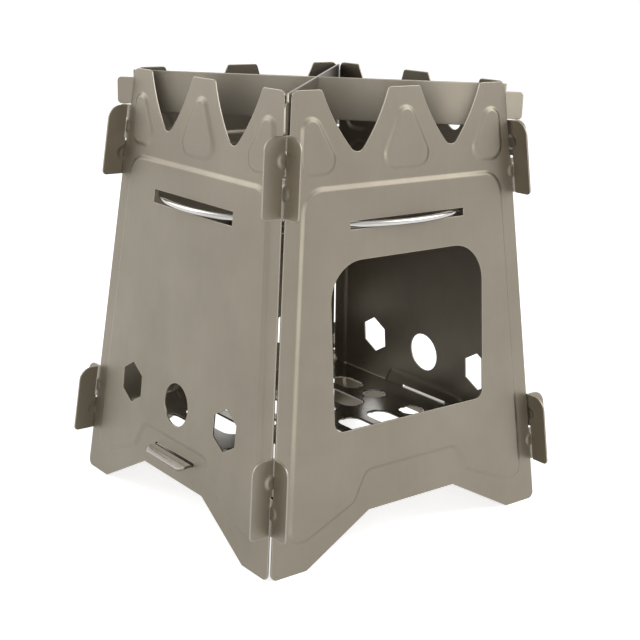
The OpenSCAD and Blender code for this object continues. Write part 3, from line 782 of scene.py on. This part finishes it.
class STOVE_OT_base_plate(bpy.types.Operator):
    """Build the base plate with its openings and tongues"""
    bl_idname = "stove.base_plate"
    bl_label = "Base Plate"

    def execute(self, context):
        scene = context.scene
        s, plan = scene.stove_plate, WallPlan(scene.stove_walls)
        reach = plan.s.base_w / 2 - s.plate_z * math.tan(plan.lean)
        side, tip = reach - plan.s.sheet_t - s.plate_clear, reach + s.tongue_reach
        right = [(side, -side, 0), (side, -s.tongue_half_w, 0), (tip, -s.tongue_half_w, s.tongue_r),
                 (tip, s.tongue_half_w, s.tongue_r), (side, s.tongue_half_w, 0), (side, side, 0)]
        bm = bmesh.new()
        band = EDGE_BAND * s.cut_r
        sheet = face_from(bm, rounded(right + mirrored([(x, -y, r) for x, y, r in reversed(right)])))
        inset(bm, sheet, band)
        flat = open_up(bm, sheet)
        for corners in self.openings(s):
            flat += hole_edges(bm, corners, 0, band)
        fill(bm, flat)
        thicken(bm, s.plate_t, s.cut_r)
        bmesh.ops.translate(bm, vec=(0, 0, s.plate_z), verts=bm.verts)
        self.bend(bm, s, reach + s.bend_start)
        finish_piece(bm, "plate_sheet", plate_metal(scene.stove_finish), "stove", "titanium_plate", "base_plate")
        return {"FINISHED"}

    def bend(self, bm, s, start):
        """Bends the tongues' ends down, past a distance from the middle"""
        for x in (start, start + s.bend_len):
            for side in (-1, 1):
                bmesh.ops.bisect_plane(bm, geom=bm.verts[:] + bm.edges[:] + bm.faces[:],
                                       plane_co=(side * x, 0, 0), plane_no=(1, 0, 0))
        for v in bm.verts:
            past = max(abs(v.co.x) - start, 0)
            curved = min(past, s.bend_len)
            v.co.z -= s.bend_slope * (past - curved + curved * curved / (2 * s.bend_len))

    def openings(self, s):
        """Corners of every opening, in rows along Y"""
        spans = [(k, s.row_slot_near, s.row_slot_far) for k in INNER_ROWS]
        spans += [(k, s.end_slot_near, s.row_slot_far) for k in OUTER_ROWS]
        spans += [(k, s.end_hole_y - s.row_slot_r, s.end_hole_y + s.row_slot_r) for k in OUTER_ROWS]
        made = []
        for side in (-1, 1):
            for k, near, far in spans:
                opening = rectangle(s.row_slot_r, *sorted((side * near, side * far)), ROUND_END * s.row_slot_r)
                made.append([(k * s.row_pitch + x, y, r) for x, y, r in opening])
        return made


class STOVE_OT_round_tray(bpy.types.Operator):
    """Build the round tray with its rolled rim"""
    bl_idname = "stove.round_tray"
    bl_label = "Round Tray"

    def execute(self, context):
        scene = context.scene
        s = scene.stove_tray
        t, flange = s.tray_t, s.tray_z + s.tray_t
        floor_z = flange - s.dish_d
        seat_z, slope_r = floor_z + s.seat_h, s.seat_r + s.seat_h
        ring_in, ring_out = s.hole_ring_r - HOLE_RING * s.hole_r, s.hole_ring_r + HOLE_RING * s.hole_r
        rim = (s.tray_r - s.rim_r, s.tray_z)
        rise = math.asin(t / s.rim_r)
        seat = rounded_line([(s.mid_hole_r, seat_z, 0), (s.seat_r, seat_z, s.bend_r / 2),
                             (slope_r, floor_z, s.bend_r / 2), (ring_in, floor_z, 0)])
        dish = rounded_line([(ring_out, floor_z, 0), (s.floor_r - t, floor_z, s.bend_r),
                             (s.dish_r - t, flange, s.bend_r), (rim[0] - s.rim_r * math.cos(rise), flange, 0)])
        dish += arc(rim, s.rim_r, math.pi - rise, math.pi - rise - RIM_TURN, RIM_STEP)[1:]
        bm = bmesh.new()
        for line in (seat, dish):
            verts = [bm.verts.new((r, 0, z)) for r, z in line]
            edges = [bm.edges.new(pair) for pair in zip(verts, verts[1:])]
            bmesh.ops.spin(bm, geom=verts + edges, cent=(0, 0, 0), axis=(0, 0, 1), angle=2 * math.pi,
                           steps=s.turns, use_merge=True)
        rings = [e for e in bm.edges if e.is_boundary and all(
            min(abs(v.co.xy.length - ring_in), abs(v.co.xy.length - ring_out)) < s.cut_r for v in e.verts)]
        for i in range(s.holes):
            a = 2 * math.pi * i / s.holes
            centre = (s.hole_ring_r * math.cos(a), s.hole_ring_r * math.sin(a))
            rings += hole_edges(bm, [(x, y, 0) for x, y in circle(centre, s.hole_r, SMALL_CIRCLE_STEPS)],
                                floor_z, EDGE_BAND * s.cut_r)
        fill(bm, rings)
        bmesh.ops.remove_doubles(bm, verts=bm.verts, dist=MERGE_DIST)
        bmesh.ops.recalc_face_normals(bm, faces=bm.faces)
        if sum(f.normal.z * f.calc_area() for f in bm.faces) < 0:
            bmesh.ops.reverse_faces(bm, faces=bm.faces)
        bmesh.ops.solidify(bm, geom=bm.faces[:], thickness=TRAY_SHOWN * t)
        finish_piece(bm, "tray_sheet", tray_metal(scene.stove_finish), "tray", "polished_tray", "round_tray")
        return {"FINISHED"}


class STOVE_OT_pot_supports(bpy.types.Operator):
    """Build the two crossed pot supports"""
    bl_idname = "stove.pot_supports"
    bl_label = "Pot Supports"

    def execute(self, context):
        walls, s, finish = context.scene.stove_walls, context.scene.stove_supports, context.scene.stove_finish
        top = walls.body_h - s.support_drop
        low, lap = top - s.support_h, top - s.support_h / 2
        slot = s.support_t / 2 + s.lap_clear
        half = math.sqrt(2) * (walls.base_w / 2 - top * math.tan(WallPlan(walls).lean)) - s.support_back
        right = [(half, low, 0), (half, s.tab_z, 0), (half + s.tab_len, s.tab_z, s.tab_r),
                 (half + s.tab_len, top - s.tab_step, s.tab_r), (half, top - s.tab_step, 0), (half, top, 0)]
        below = [(-slot, low, 0), (-slot, lap + s.lap_clear, 0), (slot, lap + s.lap_clear, 0), (slot, low, 0)]
        above = [(slot, top, 0), (slot, lap - s.lap_clear, 0), (-slot, lap - s.lap_clear, 0), (-slot, top, 0)]
        # The supports' copy of the blasted titanium, in the darker strip colours that paint shade onto them
        material = blasted_metal("Blasted strip", finish.strip, finish.strip_painted_shade_drift, finish)
        for name, corners, turn in (("lower", right + above + mirrored(right), -QUARTER / 2),
                                    ("upper", below + right + mirrored(right), QUARTER / 2)):
            bm = bmesh.new()
            sheet = face_from(bm, rounded(corners))
            inset(bm, sheet, SUPPORT_EDGE_BAND * s.cut_r)
            fill(bm, open_up(bm, sheet))
            thicken(bm, s.support_t, s.cut_r)
            place = (Matrix.Rotation(turn, 4, "Z") @ Matrix.Rotation(QUARTER, 4, "X")
                     @ Matrix.Translation((0, 0, s.support_t / 2)))
            bmesh.ops.transform(bm, matrix=place, verts=bm.verts)
            finish_piece(bm, f"{name}_strip", material, "pot_supports", "titanium_sheet", f"{name}_pot_support")
        return {"FINISHED"}


class STOVE_OT_stage(bpy.types.Operator):
    """Set the floor, lamps, world and camera"""
    bl_idname = "stove.stage"
    bl_label = "Stage"

    def execute(self, context):
        scene = context.scene
        s = scene.stove_studio
        scene.view_settings.view_transform = "Standard"
        self.floor(s)
        self.world(scene, s)
        for name, power in (("Key", s.key), ("Fill", s.fill), ("Front", s.front)):
            self.lamp(name, power)
        camera = bpy.data.objects.new("Camera", bpy.data.cameras.new("Camera"))
        camera.data.lens = s.lens
        camera.data.clip_start = CLIP_START
        camera.location = s.camera_place
        camera.rotation_euler = s.camera_turn
        scene.collection.objects.link(camera)
        scene.camera = camera
        return {"FINISHED"}

    def lamp(self, name, power):
        """A large soft lamp aimed at the stove's middle"""
        light = bpy.data.lights.new(name, "AREA")
        light.size = LAMP_SIZE
        light.energy = power
        lamp = bpy.data.objects.new(name, light)
        lamp.location = LAMP_PLACES[name]
        middle = (Vector(CAD_BOX[0]) + Vector(CAD_BOX[1])) / 2
        lamp.rotation_euler = (middle - Vector(LAMP_PLACES[name])).to_track_quat("-Z", "Y").to_euler()
        bpy.context.scene.collection.objects.link(lamp)

    def seen(self, tree):
        """1 for rays that come from the camera or from gloss, so that metal shows the white background"""
        path = tree.add("ShaderNodeLightPath")
        first = tree.add("ShaderNodeMath", {0: path.outputs["Is Camera Ray"], 1: path.outputs["Is Glossy Ray"]},
                         operation="MAXIMUM")
        return tree.add("ShaderNodeMath", {0: first.outputs[0], 1: path.outputs["Is Transmission Ray"]},
                        operation="MAXIMUM").outputs[0]

    def world(self, scene, s):
        """Even light from all round, with a white background"""
        world = bpy.data.worlds.new("Studio")
        tree = fresh_tree(world)
        light = tree.add("ShaderNodeBackground", {"Color": WHITE, "Strength": s.sky})
        white = tree.add("ShaderNodeBackground", {"Color": WHITE, "Strength": 1.0})
        mix = tree.add("ShaderNodeMixShader", {0: self.seen(tree), 1: light.outputs[0], 2: white.outputs[0]})
        tree.add("ShaderNodeOutputWorld", {"Surface": mix.outputs[0]})
        scene.world = world

    def floor(self, s):
        """A plain white floor that keeps a soft shadow"""
        bm = bmesh.new()
        bmesh.ops.create_grid(bm, x_segments=1, y_segments=1, size=s.floor_size / 2)
        material = bpy.data.materials.new("Floor")
        tree = fresh_tree(material)
        matt = tree.add("ShaderNodeBsdfDiffuse", {"Color": FLOOR_TONE})
        lift = tree.add("ShaderNodeMath", {0: self.seen(tree), 1: s.floor_lift}, operation="MULTIPLY")
        white = tree.add("ShaderNodeEmission", {"Color": WHITE, "Strength": lift.outputs[0]})
        both = tree.add("ShaderNodeAddShader", {0: matt.outputs[0], 1: white.outputs[0]})
        tree.add("ShaderNodeOutputMaterial", {"Surface": both.outputs[0]})
        floor = mesh_object(bm, "Floor", material)


OPERATORS = (STOVE_OT_walls, STOVE_OT_base_plate, STOVE_OT_round_tray, STOVE_OT_pot_supports, STOVE_OT_stage)
GROUPS = {"stove_walls": WallSizes, "stove_tray": TraySizes, "stove_plate": PlateSizes,
          "stove_supports": SupportSizes, "stove_finish": FinishSettings, "stove_studio": StudioSettings}


class STOVE_PT_panel(bpy.types.Panel):
    """The stove's pieces and their sizes"""
    bl_idname = "STOVE_PT_panel"
    bl_label = "Camp Stove"
    bl_space_type = "VIEW_3D"
    bl_region_type = "UI"
    bl_category = "Stove"

    def draw(self, context):
        layout = self.layout
        for operator in OPERATORS:
            layout.operator(operator.bl_idname)
        for group in GROUPS:
            box = layout.box()
            settings = getattr(context.scene, group)
            for name in settings.__annotations__:
                box.prop(settings, name)


def register():
    for cls in (*GROUPS.values(), *OPERATORS, STOVE_PT_panel):
        bpy.utils.register_class(cls)
    for name, group in GROUPS.items():
        setattr(bpy.types.Scene, name, PointerProperty(type=group))


def unregister():
    for name in GROUPS:
        delattr(bpy.types.Scene, name)
    for cls in reversed((*GROUPS.values(), *OPERATORS, STOVE_PT_panel)):
        bpy.utils.unregister_class(cls)


def main():
    register()
    bpy.ops.stove.walls()
    bpy.ops.stove.base_plate()
    bpy.ops.stove.round_tray()
    bpy.ops.stove.pot_supports()
    bpy.ops.stove.stage()


if __name__ == "__main__":
    main()
